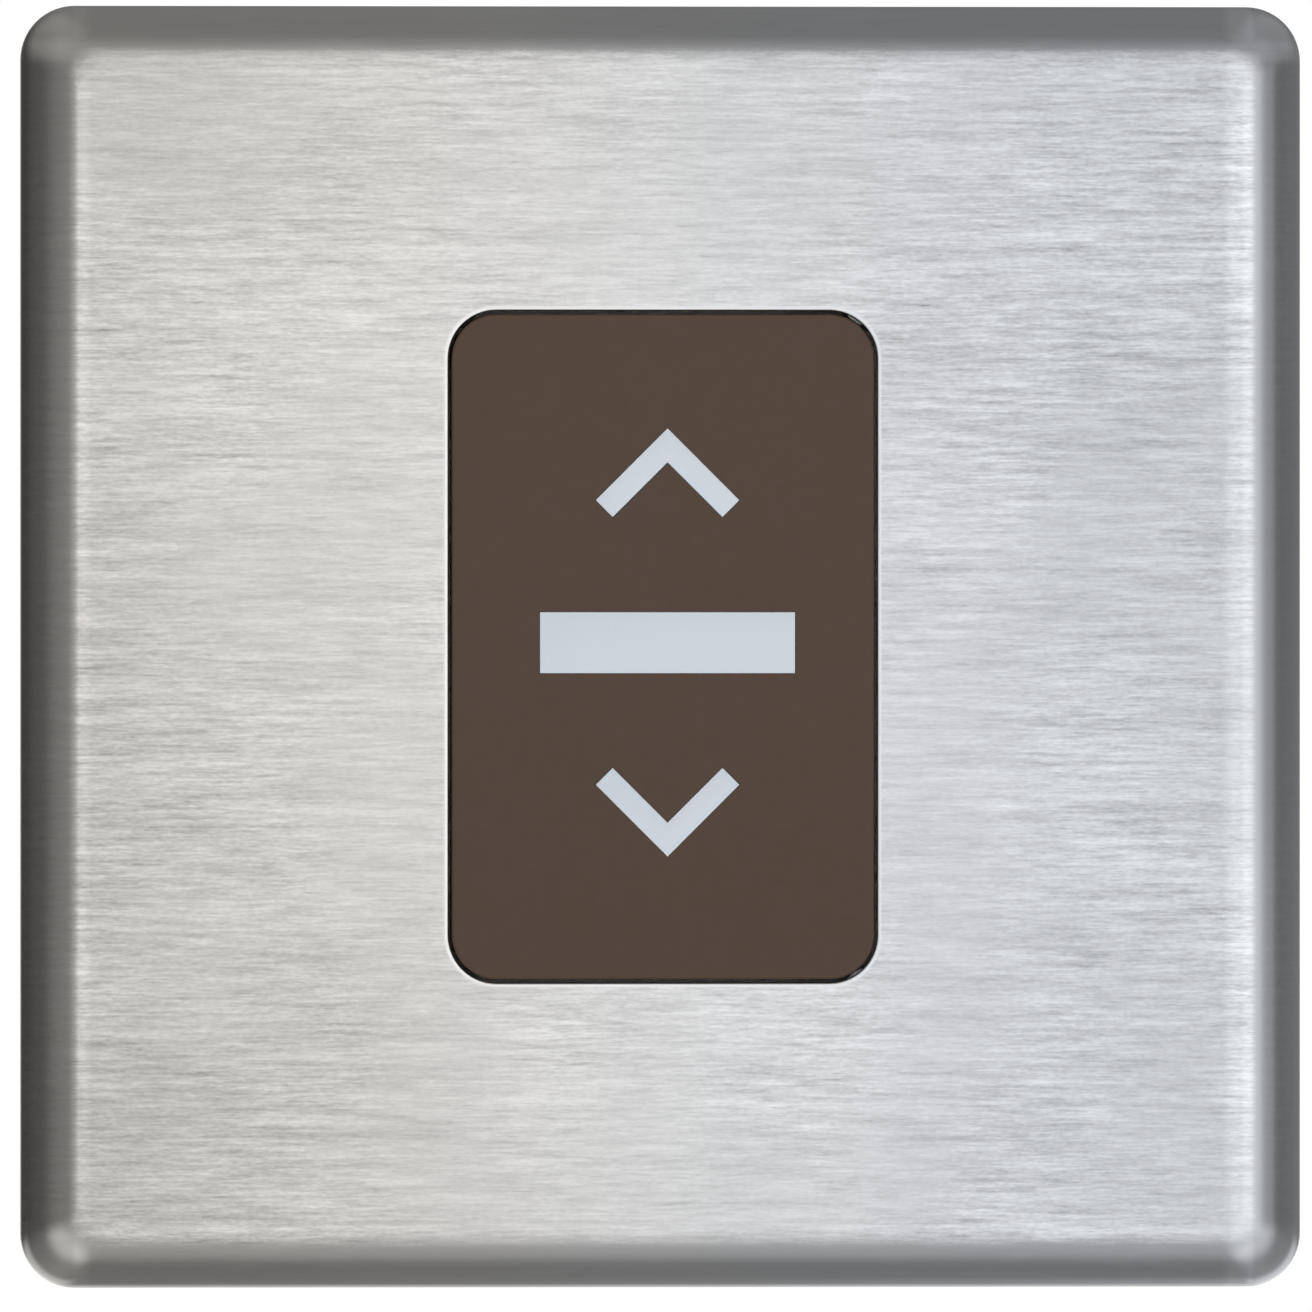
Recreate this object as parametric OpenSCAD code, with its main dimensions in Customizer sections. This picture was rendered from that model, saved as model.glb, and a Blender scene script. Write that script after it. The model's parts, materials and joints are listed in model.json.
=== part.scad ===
// Single-gang rocker wall switch: up / stop / down control for a blind or shutter.
// A screwless pressed steel front plate snaps over a steel mounting frame. Behind the
// frame hangs the switch mechanism: a one-piece rocker on a steel pivot pin works two
// sprung plungers, and each plunger carries a double-break bridge contact.
// Units are millimetres. +X is right seen from the front, +Z is up, +Y goes into the wall.
// The wall surface is y = 0 and the plate's centre is x = 0, z = 0.

/* [Front plate] */
// Width and height of the square front plate
plate_size = 86; // [84:0.5:90]
// How far the plate's flat face stands off the wall
plate_depth = 5.2; // [5.2:0.1:6.4]
// Thickness of the pressed sheet
sheet = 1.0; // [0.8:0.1:1.0]
// Outer corner radius, seen from the front
plate_corner = 3.65; // [3.5:0.05:6]
// Width of the rolled band round the face
edge_band = 3.3; // [3.0:0.1:3.4]
// Thickness of the soft gasket between the plate's rim and the wall
gasket_t = 0.8; // [0.5:0.1:1.0]

/* [Rocker] */
// Width of the rocker
rocker_w = 28.3; // [28:0.1:29]
// Height of the rocker
rocker_h = 44.5; // [44:0.1:45.5]
// Corner radius of the rocker
rocker_corner = 3.0; // [2:0.1:4]
// How far the rocker's face stands proud of the plate
rocker_proud = 0.4; // [0.3:0.05:0.5]
// Gap between the rocker and the plate at the left and right
side_gap = 0.2; // [0.2:0.05:0.5]
// Gap between the rocker and the plate at the top and bottom, where the rocker swings
end_gap = 0.25; // [0.25:0.05:0.5]

/* [Symbols] */
// Length of the bar in the middle
bar_len = 17.1; // [10:0.1:17.4]
// Height of the bar in the middle
bar_h = 4.1; // [2:0.1:5]
// Half the spread of a chevron, measured on its centre line
chevron_reach = 4.25; // [3:0.05:6]
// Stroke width of the chevrons
chevron_t = 1.62; // [1:0.02:2.4]
// Height of the up chevron's apex above the rocker's centre
up_apex = 13.49; // [11:0.1:15]
// Depth of the down chevron's apex below the rocker's centre
down_apex = 12.92; // [11:0.1:15]
// Sideways place of the symbols
symbol_x = 0.3; // [-0.5:0.1:0.5]

/* [Fixing] */
// Distance between the two box screws
fixing_centres = 60.3; // [58:0.1:62]
// Radius of the box screw holes
fixing_hole_r = 2.0; // [1.8:0.1:2.4]

/* [Mechanism] */
// Distance of each plunger from the rocker's centre
plunger_z = 16; // [15.5:0.1:16.2]
// Radius of the wire entry in each terminal
wire_r = 1.9; // [1.4:0.1:2.0]
// Turns of each return spring
spring_turns = 7; // [5:1:8]

/* [Hidden] */
$fn = 48;
face_y = -plate_depth;              // plate's flat face
cap_y = face_y - rocker_proud;      // rocker's face
under_y = face_y + sheet;           // underside of the plate's face
pivot_y = -2.4;                     // pivot axis, along X
pin_r = 0.75;
run = 0.05;                         // running clearance
tilt = 4.5;                         // rocker's travel each way, degrees
travel = plunger_z * tilt * PI / 180;
win_w = rocker_w + 2 * side_gap;
win_h = rocker_h + 2 * end_gap;
frame_half = 39;                    // mounting frame, half its side
frame_t = 1.2;
body_w = 36;                        // housing
body_h = 53;
cover_t = 1.6;
floor_y = 12.5;                     // floor of the contact chamber
well_y = 20.9;                      // bottom of the spring wells and terminal pockets
back_y = 22.4;                      // rear face of the housing
head_y = -1.46;                     // plunger heads, under the rocker's feet
plunger_r = 3.0;
yoke_y = 6.2;
yoke_end = 10.6;
bridge_y = 8.6;
bridge_t = 0.8;
tip_h = 0.5;
strip_t = 0.8;
tip_x = 5.8;                        // contact tips each side of the plunger
fixed_tip_y = bridge_y + bridge_t + tip_h + travel + 0.03;
strip_y = floor_y - strip_t;
term_x = 10.5;                      // terminal blocks
term_w = 7.8;
term_z0 = 17.4;
term_z1 = 25.2;
term_y0 = 13.6;
term_y1 = 20.8;
wire_y = 16.4;
term_mid = (term_z0 + term_z1) / 2;
screw_r = 1.5;
earth = [28.2, -21];                // earth terminal, behind the frame
screw_spots = [[-14.2, -23.6], [14.2, -23.6], [-14.2, 23.6], [14.2, 23.6]];
rivet_spots = [[-12, -28.8], [12, -28.8], [-12, 28.8], [12, 28.8]];

steel_c = [0.80, 0.79, 0.77];
brown_c = [0.33, 0.275, 0.24];
legend_c = [0.79, 0.82, 0.85];
black_c = [0.10, 0.10, 0.11];
zinc_c = [0.70, 0.72, 0.74];
brass_c = [0.80, 0.64, 0.32];
silver_c = [0.88, 0.88, 0.86];
nylon_c = [0.93, 0.92, 0.88];
body_c = [0.86, 0.86, 0.84];

// a rounded rectangle in the XZ plane, from y0 to y1
module slab(w, h, r, y0, y1) {
    translate([0, y1, 0]) rotate([90, 0, 0]) linear_extrude(y1 - y0)
        rounded(w, h, r);
}
module rounded(w, h, r) {
    square([w - 2 * r, h], center = true);
    square([w, h - 2 * r], center = true);
    for (sx = [-1, 1], sz = [-1, 1])
        translate([sx * (w / 2 - r), sz * (h / 2 - r)]) circle(r);
}
// a cylinder along Y between y0 and y1
module rod(r, y0, y1, x = 0, z = 0) {
    translate([x, y0, z]) rotate([-90, 0, 0]) cylinder(r = r, h = y1 - y0);
}
// a box given by its limits
module block(x0, x1, y0, y1, z0, z1) {
    translate([x0, y0, z0]) cube([x1 - x0, y1 - y0, z1 - z0]);
}
// a cylinder along X
module bar_x(r, x0, x1, y, z = 0) {
    translate([x0, y, z]) rotate([0, 90, 0]) cylinder(r = r, h = x1 - x0);
}
// the dished shape: flat face, a rolled band, a short straight rim, built from
// matching rounded outlines at falling depths
function outline(half, r, y) = [for (k = [0:3], i = [0:7])
    let (a = 90 * k + 90 * i / 7,
         cx = (k == 0 || k == 3) ? half - r : r - half,
         cz = k < 2 ? half - r : r - half)
    [cx + r * cos(a), y, cz + r * sin(a)]];
module dish(size, corner, band, y_face, y_rim) {
    d = y_rim - y_face;
    // share of the band's width and of the depth at each outline
    steps = [[1, 0], [0.72, 0.07], [0.46, 0.19], [0.23, 0.37], [0.07, 0.62], [0, 0.88], [0, 1]];
    n = 32;
    m = len(steps);
    pts = [for (s = steps) each outline(size / 2 - band * s[0],
        corner - (corner - 2.3) * min(1, s[0]), y_face + d * s[1])];
    walls = [for (i = [0:m - 2], j = [0:n - 1]) let (k = (j + 1) % n)
        each [[i * n + j, i * n + k, (i + 1) * n + j],
              [i * n + k, (i + 1) * n + k, (i + 1) * n + j]]];
    front = [[for (j = [n - 1:-1:0]) j]];
    back = [[for (j = [0:n - 1]) (m - 1) * n + j]];
    polyhedron(points = pts, faces = concat(walls, front, back), convexity = 4);
}

// Front plate: one pressed sheet with the rocker's window
module front_plate() {
    color(steel_c) difference() {
        dish(plate_size, plate_corner, edge_band, face_y, -gasket_t);
        dish(plate_size - 2 * sheet, plate_corner - sheet * 0.6, edge_band, under_y, -gasket_t + 0.6);
        slab(win_w, win_h, rocker_corner + side_gap, face_y - 1, under_y + 1);
    }
}

// Soft gasket between the plate's rim and the wall
module plate_gasket() {
    color(black_c) difference() {
        slab(plate_size - 0.4, plate_size - 0.4, plate_corner - 0.2, -gasket_t, 0);
        slab(plate_size - 4.4, plate_size - 4.4, 1.6, -gasket_t - 1, 1);
    }
}

// Insulating liner under the plate's face
module plate_liner() {
    color(black_c) difference() {
        slab(76, 76, 5, under_y, under_y + 0.8);
        slab(win_w + 5, win_h + 5, 4, under_y - 1, under_y + 2);
        for (sx = [-1, 1]) slab_at(sx * 25.5, 9, 40);
    }
}
// relief windows in the liner
module slab_at(x, w, h) {
    translate([x, 0, 0]) slab(w, h, 2, under_y - 1, under_y + 2);
}

// Four spring clips that grip the mounting frame's lips
module plate_clips() {
    color(zinc_c) for (sx = [-1, 1], sz = [-1, 1]) {
        translate([0, 0, sz * 24]) mirror([sx < 0 ? 1 : 0, 0, 0]) {
            block(35.2, 39.45, under_y + 0.8, under_y + 1.2, -4, 4);
            block(39.05, 39.45, under_y + 1.2, -0.9, -4, 4);
        }
    }
}

// Steel mounting frame, fixed to the box by two screws
module mounting_frame() {
    color(zinc_c) difference() {
        union() {
            slab(2 * frame_half, 2 * frame_half, 2.0, -frame_t, 0);
            for (sx = [-1, 1])
                block(sx * (frame_half - 0.6) - 0.6, sx * (frame_half - 0.6) + 0.6,
                      -2.8, -frame_t, -34, 34);
            for (sz = [-1, 1])
                block(-34, 34, -2.8, -frame_t,
                      sz * (frame_half - 0.6) - 0.6, sz * (frame_half - 0.6) + 0.6);
        }
        slab(31.2, 48.4, 3.2, -frame_t - 1, 1);
        for (p = screw_spots) rod(2.6, -frame_t - 1, 1, p[0], p[1]);
        for (sx = [-1, 1], sz = [-1, 1])
            translate([sx * 27.5, 0, sz * 30.5]) slab(9, 3, 1.3, -frame_t - 1, 1);
        for (sx = [-1, 1]) rod(fixing_hole_r, -frame_t - 1, 1, sx * fixing_centres / 2, 0);
        for (p = rivet_spots) rod(1.25, -frame_t - 1, 1, p[0], p[1]);
        rod(1.25, -frame_t - 1, 1, earth[0] - 6, earth[1]);
    }
}

// Four rivets that hold the mechanism to the frame
module frame_rivets() {
    color(silver_c) for (p = rivet_spots) {
        rod(2.0, -frame_t - 0.6, -frame_t, p[0], p[1]);
        rod(1.2, -frame_t, cover_t, p[0], p[1]);
        rod(1.8, cover_t, cover_t + 0.6, p[0], p[1]);
    }
}

// the three symbols as flat shapes; grow widens them for the openings they fill
module chevron(apex, reach, grow) {
    e = (chevron_t / 2 + grow) * sqrt(2) / 2;
    g = grow * sqrt(2) / 2;
    q = reach + g;
    polygon([[0, apex + 2 * e], [q + e, apex - q + e], [q - e, apex - q - e],
             [0, apex - 2 * e], [-q + e, apex - q - e], [-q - e, apex - q + e]]);
}
module symbols(y0, y1, grow = 0) {
    translate([symbol_x, y1, 0]) rotate([90, 0, 0]) linear_extrude(y1 - y0) {
        chevron(up_apex, chevron_reach, grow);
        mirror([0, 1]) chevron(down_apex, chevron_reach, grow);
        translate([0, 0.27]) square([bar_len + 2 * grow, bar_h + 2 * grow], center = true);
    }
}

// Rocker cap: one brown moulding with openings for the symbols
module rocker_cap() {
    color(brown_c) difference() {
        slab(rocker_w, rocker_h, rocker_corner, cap_y, -2.2);
        slab(rocker_w - 2.4, rocker_h - 2.4, rocker_corner - 1.2, cap_y + 1.0, 0);
        symbols(cap_y - 1, cap_y + 2, 0.02);
    }
}

// Pale core behind the cap; its raised symbols fill the cap's openings
module legend_core() {
    color(legend_c) {
        slab(rocker_w - 2.6, rocker_h - 2.6, rocker_corner - 1.3, cap_y + 1.0, cap_y + 1.7);
        symbols(cap_y, cap_y + 1.2);
    }
}

// Carrier: journals on the pivot pin and one foot over each plunger
module rocker_carrier() {
    front = cap_y + 1.7;
    color(black_c) difference() {
        union() {
            slab(25.6, rocker_h - 3.1, 1.5, front, -2.9);
            for (s = [-1, 1]) bar_x(1.4, s > 0 ? 4.5 : -9.4, s > 0 ? 9.4 : -4.5, pivot_y);
            for (s = [-1, 1]) intersection() {
                translate([0, -3.1, s * plunger_z]) sphere(r = 1.6);
                block(-3, 3, front, 0, s * plunger_z - 3, s * plunger_z + 3);
            }
            for (s = [-1, 1]) block(-11, 11, -2.9, -2.3, s * 8 - 0.5, s * 8 + 0.5);
            for (s = [-1, 1]) block(s * 6 - 0.5, s * 6 + 0.5, -2.9, -2.3, -19, -8.5);
            for (s = [-1, 1]) block(s * 6 - 0.5, s * 6 + 0.5, -2.9, -2.3, 8.5, 19);
        }
        bar_x(pin_r + run, -14, 14, pivot_y);
        for (s = [-1, 1]) block(s * 11.1 - 1.5, s * 11.1 + 1.5, front - 1, 1, -2.3, 2.3);
    }
}

// Steel pivot pin, held in the cover's posts
module pivot_pin() {
    color(silver_c) bar_x(pin_r, -12.5, 12.5, pivot_y);
}

// Housing cover: plunger guides, bearing posts and ears for the rivets
module housing_cover() {
    color(body_c) difference() {
        union() {
            slab(body_w, body_h, 2.0, 0, cover_t);
            slab(30, 63, 2.0, 0, cover_t);
            for (s = [-1, 1]) rod(4.6, -0.8, 4.6, 0, s * plunger_z);
            for (s = [-1, 1]) {
                block(s * 11.1 - 1.1, s * 11.1 + 1.1, pivot_y, 0, -1.4, 1.4);
                bar_x(1.4, s * 11.1 - 1.1, s * 11.1 + 1.1, pivot_y);
            }
        }
        for (s = [-1, 1]) rod(plunger_r + run, -2, 6, 0, s * plunger_z);
        bar_x(pin_r + 0.02, -14, 14, pivot_y);
        for (p = screw_spots) {
            rod(1.25, -1, 3, p[0], p[1]);
            rod(2.25, -1, 0.95, p[0], p[1]);
        }
        for (p = rivet_spots) rod(1.25, -1, 3, p[0], p[1]);
    }
}

// pocket for one terminal block
module pocket(sx, sz) {
    mirror([sx < 0 ? 1 : 0, 0, 0]) mirror([0, 0, sz < 0 ? 1 : 0]) {
        block(term_x - 4.1, term_x + 4.1, floor_y - 1, well_y, 16.55, 25.4);
        translate([term_x, wire_y, 25]) cylinder(r = wire_r + 0.4, h = 3);
        rod(2.7, well_y - 1, back_y + 1, term_x, term_mid);
    }
}

// Housing base: contact chamber, spring wells and three terminal pockets
module housing_base() {
    color(black_c) difference() {
        union() {
            difference() {
                slab(body_w, body_h, 2.0, cover_t, back_y);
                slab(body_w - 3.2, body_h - 3.2, 1.0, cover_t - 1, floor_y);
            }
            for (p = screw_spots) intersection() {
                rod(2.6, cover_t, floor_y + 1, p[0], p[1]);
                slab(body_w - 1, body_h - 1, 1.5, cover_t, back_y);
            }
        }
        for (s = [-1, 1]) difference() {
            rod(3.6, floor_y - 1, well_y, 0, s * plunger_z);
            rod(1.3, 18.4, well_y + 1, 0, s * plunger_z);
        }
        pocket(-1, 1);
        pocket(1, 1);
        pocket(1, -1);
        // shallow panel in the rear face, grooves down the sides, mouths of the wire entries
        slab(27, 24, 1.5, back_y - 0.5, back_y + 1);
        for (s = [-1, 1], z = [-16, 0, 16])
            block(s * body_w / 2 - 0.5, s * body_w / 2 + 0.5, 5, back_y - 3, z - 3, z + 3);
        for (p = [[-1, 1], [1, 1], [1, -1]])
            translate([p[0] * term_x, wire_y, p[1] > 0 ? body_h / 2 - 0.5 : -body_h / 2 - 0.5])
                cylinder(r = wire_r + 1.0, h = 1);
        for (p = screw_spots) rod(1.2, 0, 10.5, p[0], p[1]);
    }
}

// Four screws that close the housing
module housing_screws() {
    color(zinc_c) for (p = screw_spots) difference() {
        union() {
            rod(2.1, 0.05, 0.95, p[0], p[1]);
            rod(1.1, 0.95, 10, p[0], p[1]);
        }
        for (a = [0, 90]) translate([p[0], 0.05, p[1]]) rotate([0, a, 0])
            cube([2.6, 1.0, 0.5], center = true);
    }
}

// Plunger with a guide stem, a yoke for the bridge and a tail inside the spring
module plunger(s) {
    z = s * plunger_z;
    color(nylon_c) difference() {
        union() {
            rod(plunger_r, head_y, yoke_y, 0, z);
            block(-3.3, 3.3, yoke_y, yoke_end, z - 2.6, z + 2.6);
            rod(1.4, yoke_end, 14.6, 0, z);
        }
        block(-4, 4, bridge_y - 0.02, bridge_y + bridge_t + 0.02, z - 1.77, z + 1.77);
    }
}
module up_plunger() { plunger(1); }
module down_plunger() { plunger(-1); }

// Bridge contact carried by a plunger
module bridge(s) {
    z = s * plunger_z;
    color(brass_c) {
        block(-5.8, 5.8, bridge_y, bridge_y + bridge_t, z - 1.75, z + 1.75);
        for (k = [-1, 1]) rod(1.75, bridge_y, bridge_y + bridge_t, k * tip_x, z);
    }
}
module up_bridge() { bridge(1); }
module down_bridge() { bridge(-1); }

// Silver tips on a bridge
module bridge_tips(s) {
    color(silver_c) for (k = [-1, 1])
        rod(1.25, bridge_y + bridge_t, bridge_y + bridge_t + tip_h, k * tip_x, s * plunger_z);
}
module up_bridge_tips() { bridge_tips(1); }
module down_bridge_tips() { bridge_tips(-1); }

// Return spring: a round wire helix with closed ends, standing in its well
module helix(y0, y1, z, r_coil, r_wire, turns) {
    sides = 6;
    per = 16;
    n = per * turns;
    pitch_end = 2 * r_wire + 0.04;
    body = (y1 - y0) - 2 * r_wire - 2 * pitch_end;
    function climb(t) = t < 1 ? t * pitch_end
        : t > turns - 1 ? pitch_end + body + (t - turns + 1) * pitch_end
        : pitch_end + body * (t - 1) / (turns - 2);
    pts = [for (i = [0:n], j = [0:sides - 1])
        let (t = i / per, a = 360 * t, b = 360 * j / sides,
             rr = r_coil + r_wire * cos(b))
        [rr * cos(a), y0 + r_wire + climb(t) + r_wire * sin(b), z + rr * sin(a)]];
    walls = [for (i = [0:n - 1], j = [0:sides - 1])
        let (k = (j + 1) % sides)
        [i * sides + j, i * sides + k, (i + 1) * sides + k, (i + 1) * sides + j]];
    caps = [[for (j = [sides - 1:-1:0]) j], [for (j = [0:sides - 1]) n * sides + j]];
    polyhedron(points = pts, faces = concat(walls, caps), convexity = 8);
}
module return_spring(s) {
    color(zinc_c) helix(yoke_end + 0.02, well_y - 0.02, s * plunger_z, 2.3, 0.32, spring_turns);
}
module up_return_spring() { return_spring(1); }
module down_return_spring() { return_spring(-1); }

// foot of a contact strip: from the chamber's floor down beside a terminal block
module strip_foot(sx, sz) {
    mirror([sx < 0 ? 1 : 0, 0, 0]) mirror([0, 0, sz < 0 ? 1 : 0]) {
        block(4.0, 12, strip_y, floor_y, 14.2, 17.38);
        block(9, 12, floor_y, 19.6, 16.6, 17.38);
    }
}
module common_bus() {
    color(brass_c) {
        block(-7.6, -4.0, strip_y, floor_y, -17.8, 17.8);
        strip_foot(-1, 1);
    }
}
module up_contact_strip() { color(brass_c) strip_foot(1, 1); }
module down_contact_strip() { color(brass_c) strip_foot(1, -1); }

// Silver tips on the fixed strips
module fixed_contact_tips() {
    color(silver_c) for (k = [-1, 1], s = [-1, 1])
        rod(1.4, fixed_tip_y, strip_y, k * tip_x, s * plunger_z);
}

// Brass terminal block with its wire entry and screw hole
module terminal(sx, sz) {
    mirror([sx < 0 ? 1 : 0, 0, 0]) mirror([0, 0, sz < 0 ? 1 : 0])
    color(brass_c) difference() {
        block(term_x - term_w / 2, term_x + term_w / 2, term_y0, term_y1, term_z0, term_z1);
        translate([term_x, wire_y, term_z0 - 1]) cylinder(r = wire_r, h = 12);
        rod(screw_r + run, wire_y, term_y1 + 1, term_x, term_mid);
    }
}
module common_terminal() { terminal(-1, 1); }
module up_terminal() { terminal(1, 1); }
module down_terminal() { terminal(1, -1); }

// slotted screw, its tip clear of the wire entry
module clamp_screw(x, z, y_tip, y_seat, r_head) {
    difference() {
        union() {
            rod(screw_r, y_tip, y_seat, x, z);
            rod(r_head, y_seat, y_seat + 1.3, x, z);
        }
        block(x - 3, x + 3, y_seat + 0.6, y_seat + 2, z - 0.4, z + 0.4);
    }
}
module terminal_screws() {
    color(zinc_c) for (p = [[-1, 1], [1, 1], [1, -1]])
        clamp_screw(p[0] * term_x, p[1] * term_mid, wire_y + wire_r + 0.1, 20.9, 2.3);
}

// Earth terminal on the back of the mounting frame
module earth_terminal() {
    color(brass_c) difference() {
        union() {
            block(earth[0] - 3.9, earth[0] + 3.9, 0.8, 8.0, earth[1] - 3.9, earth[1] + 3.9);
            block(earth[0] - 8.4, earth[0] + 3.9, 0, 0.8, earth[1] - 3.9, earth[1] + 3.9);
        }
        translate([earth[0], 3.6, earth[1] - 5]) cylinder(r = wire_r, h = 10);
        rod(screw_r + run, 3.6, 9, earth[0], earth[1]);
        rod(1.25, -1, 1, earth[0] - 6, earth[1]);
    }
}
module earth_rivet() {
    color(silver_c) {
        rod(2.0, -frame_t - 0.6, -frame_t, earth[0] - 6, earth[1]);
        rod(1.2, -frame_t, 0.8, earth[0] - 6, earth[1]);
        rod(1.8, 0.8, 1.4, earth[0] - 6, earth[1]);
    }
}
module earth_screw() {
    color(zinc_c) clamp_screw(earth[0], earth[1], 3.6 + wire_r + 0.1, 8.1, 2.6);
}

front_plate();
plate_gasket();
plate_liner();
plate_clips();
mounting_frame();
frame_rivets();
rocker_cap();
legend_core();
rocker_carrier();
pivot_pin();
housing_cover();
housing_base();
housing_screws();
up_plunger();
down_plunger();
up_bridge();
down_bridge();
up_bridge_tips();
down_bridge_tips();
up_return_spring();
down_return_spring();
common_bus();
up_contact_strip();
down_contact_strip();
fixed_contact_tips();
common_terminal();
up_terminal();
down_terminal();
terminal_screws();
earth_terminal();
earth_rivet();
earth_screw();
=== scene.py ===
import json
import math

import bmesh
import bpy
from mathutils import Matrix, Vector


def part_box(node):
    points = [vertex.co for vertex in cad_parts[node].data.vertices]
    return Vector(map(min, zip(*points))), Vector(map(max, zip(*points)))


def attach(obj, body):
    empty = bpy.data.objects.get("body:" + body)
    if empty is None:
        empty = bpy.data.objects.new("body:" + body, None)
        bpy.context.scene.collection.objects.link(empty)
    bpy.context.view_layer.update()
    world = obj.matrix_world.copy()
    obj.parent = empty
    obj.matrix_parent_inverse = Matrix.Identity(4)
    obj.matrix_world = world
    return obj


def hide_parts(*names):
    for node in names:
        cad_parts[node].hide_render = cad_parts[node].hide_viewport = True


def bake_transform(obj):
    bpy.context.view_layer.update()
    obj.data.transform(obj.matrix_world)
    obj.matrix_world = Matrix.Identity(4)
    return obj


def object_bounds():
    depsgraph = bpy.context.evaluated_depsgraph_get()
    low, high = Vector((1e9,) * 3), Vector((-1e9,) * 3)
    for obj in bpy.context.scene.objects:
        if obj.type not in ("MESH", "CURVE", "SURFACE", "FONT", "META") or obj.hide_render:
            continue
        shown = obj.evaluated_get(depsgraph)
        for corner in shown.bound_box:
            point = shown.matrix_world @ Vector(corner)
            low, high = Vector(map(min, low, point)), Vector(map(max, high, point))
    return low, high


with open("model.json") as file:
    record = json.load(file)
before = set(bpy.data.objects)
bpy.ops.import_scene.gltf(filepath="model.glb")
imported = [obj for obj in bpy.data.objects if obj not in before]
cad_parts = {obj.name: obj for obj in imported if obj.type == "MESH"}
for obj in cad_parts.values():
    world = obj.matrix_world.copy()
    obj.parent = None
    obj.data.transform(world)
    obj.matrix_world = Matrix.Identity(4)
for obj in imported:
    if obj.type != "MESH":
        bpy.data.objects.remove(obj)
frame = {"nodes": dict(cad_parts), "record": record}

cad_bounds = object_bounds()
scene = bpy.context.scene
nodes_of = frame["nodes"]
MM = 0.001


# ---------------------------------------------------------------- node helpers
class Tree:
    """Short names for making and joining shader nodes."""

    def __init__(self, tree):
        self.t = tree
        tree.nodes.clear()

    def node(self, kind, **settings):
        n = self.t.nodes.new(kind)
        for k, v in settings.items():
            setattr(n, k, v)
        return n

    def put(self, socket, value):
        if isinstance(value, bpy.types.NodeSocket):
            self.t.links.new(value, socket)
        elif value is not None:
            socket.default_value = value

    def math(self, op, a, b=None, c=None, clamp=False):
        n = self.node("ShaderNodeMath", operation=op, use_clamp=clamp)
        for i, v in enumerate((a, b, c)):
            if v is not None:
                self.put(n.inputs[i], v)
        return n.outputs[0]

    def vmath(self, op, a, b=None):
        n = self.node("ShaderNodeVectorMath", operation=op)
        self.put(n.inputs[0], a)
        if b is not None:
            self.put(n.inputs[1], b)
        return n.outputs["Value"] if op in ("DOT_PRODUCT", "LENGTH") else n.outputs[0]

    def span(self, value, a, b, c=0.0, d=1.0, smooth=True):
        n = self.node("ShaderNodeMapRange", interpolation_type="SMOOTHSTEP" if smooth else "LINEAR")
        for i, v in enumerate((value, a, b, c, d)):
            self.put(n.inputs[i], v)
        return n.outputs[0]

    def coords(self):
        return self.node("ShaderNodeTexCoord").outputs["Object"]

    def stretch(self, vector, scale, turn=(0, 0, 0), shift=(0, 0, 0)):
        n = self.node("ShaderNodeMapping")
        self.put(n.inputs["Vector"], vector)
        n.inputs["Scale"].default_value = scale
        n.inputs["Rotation"].default_value = turn
        n.inputs["Location"].default_value = shift
        return n.outputs[0]

    def noise(self, vector, scale=1.0, detail=3.0, rough=0.55, distort=0.0):
        n = self.node("ShaderNodeTexNoise", noise_dimensions="3D")
        self.put(n.inputs["Vector"], vector)
        n.inputs["Scale"].default_value = scale
        n.inputs["Detail"].default_value = detail
        n.inputs["Roughness"].default_value = rough
        n.inputs["Distortion"].default_value = distort
        return n.outputs["Fac"]

    def cells(self, vector, scale, feature="F1"):
        n = self.node("ShaderNodeTexVoronoi", feature=feature)
        self.put(n.inputs["Vector"], vector)
        n.inputs["Scale"].default_value = scale
        return n.outputs

    def mix(self, fac, a, b, blend="MIX"):
        n = self.node("ShaderNodeMix", data_type="RGBA", blend_type=blend)
        self.put(n.inputs[0], fac)
        self.put(n.inputs[6], a)
        self.put(n.inputs[7], b)
        return n.outputs[2]

    def scale_colour(self, colour, factor):
        n = self.node("ShaderNodeVectorMath", operation="SCALE")
        self.put(n.inputs[0], colour)
        self.put(n.inputs["Scale"], factor)
        return n.outputs[0]

    def rgb(self, c):
        n = self.node("ShaderNodeRGB")
        n.outputs[0].default_value = (*c, 1)
        return n.outputs[0]

    def bump(self, height, strength, distance, normal=None):
        n = self.node("ShaderNodeBump")
        n.inputs["Strength"].default_value = strength
        n.inputs["Distance"].default_value = distance
        self.put(n.inputs["Height"], height)
        if normal is not None:
            self.put(n.inputs["Normal"], normal)
        return n.outputs[0]


def material(name):
    m = bpy.data.materials.new(name)
    m.use_nodes = True
    t = Tree(m.node_tree)
    out = t.node("ShaderNodeOutputMaterial")
    b = t.node("ShaderNodeBsdfPrincipled")
    m.node_tree.links.new(b.outputs[0], out.inputs[0])
    return m, t, b


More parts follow.
